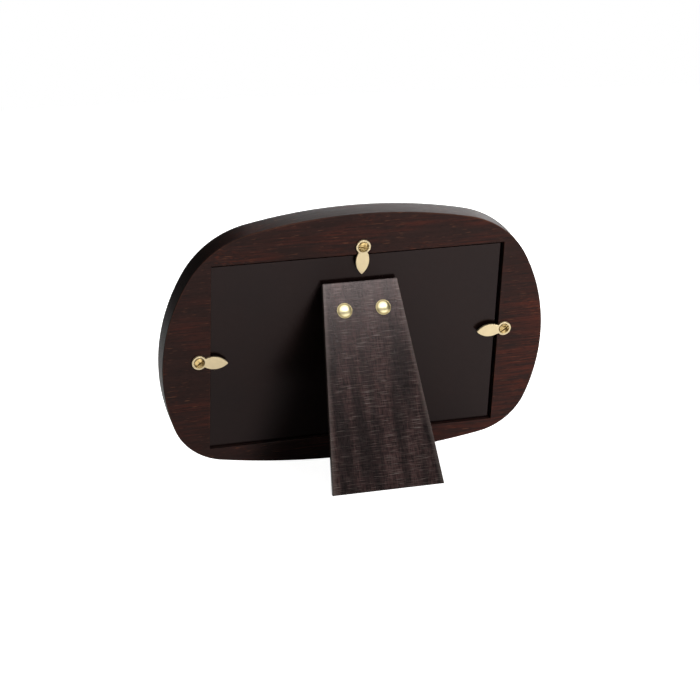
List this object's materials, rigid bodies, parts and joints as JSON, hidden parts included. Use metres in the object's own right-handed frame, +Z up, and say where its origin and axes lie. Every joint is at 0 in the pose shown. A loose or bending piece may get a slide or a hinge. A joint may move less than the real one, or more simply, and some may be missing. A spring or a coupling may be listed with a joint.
{
  "type": "oval picture frame",
  "caption": "Oval wooden table frame for a landscape print, with a folding easel leg and brass turn buttons on its back.",
  "frame": {"origin": "middle of the footprint, on the surface that the frame and its leg stand on", "axes": "+X along the frame's width, +Y out of its back towards the leg, +Z up; the frame leans back 15 degrees"},
  "size_m": [0.206, 0.0854, 0.1396],
  "materials": {
    "stained_wood": "dark stained hardwood, satin lacquer",
    "clear_glass": "clear float glass",
    "blank_card": "blank matt card",
    "dark_board": "fibreboard with a smooth dark face",
    "hinge_steel": "dark bronzed steel",
    "dark_linen_board": "fibreboard under dark linen-textured paper",
    "polished_brass": "polished",
    "satin_brass": "satin, pale",
    "aged_brass": "dull, slightly tarnished"
  },
  "bodies": {
    "frame": {"wood_frame": "stained_wood", "glass_pane": "clear_glass", "photo_card": "blank_card", "backing_board": "dark_board", "hinge_board_leaf": "hinge_steel", "hinge_pin": "hinge_steel", "board_rivet_left": "polished_brass", "board_rivet_right": "polished_brass", "turn_screw_top": "aged_brass", "turn_screw_left": "aged_brass", "turn_screw_right": "aged_brass"},
    "leg": {"easel_leg": "dark_linen_board", "hinge_leg_leaf": "hinge_steel", "leg_rivet_left": "polished_brass", "leg_rivet_right": "polished_brass"},
    "button_top": {"turn_button_top": "satin_brass"},
    "button_left": {"turn_button_left": "satin_brass"},
    "button_right": {"turn_button_right": "satin_brass"}
  },
  "joints": [
    {"name": "leg_fold", "type": "hinge", "parent": "frame", "child": "leg", "pos_m": [0, -0.00047, 0.09384], "axis": [-1, 0, 0], "range_deg": [0, 37]},
    {"name": "button_top_turn", "type": "hinge", "parent": "frame", "child": "button_top", "pos_m": [-0.001, 0.00647, 0.11916], "axis": [0, 0.9659, -0.2588], "continuous": true},
    {"name": "button_left_turn", "type": "hinge", "parent": "frame", "child": "button_left", "pos_m": [0.084, -0.00841, 0.06362], "axis": [0, 0.9659, -0.2588], "continuous": true},
    {"name": "button_right_turn", "type": "hinge", "parent": "frame", "child": "button_right", "pos_m": [-0.0811, -0.00766, 0.06642], "axis": [0, 0.9659, -0.2588], "continuous": true}
  ]
}
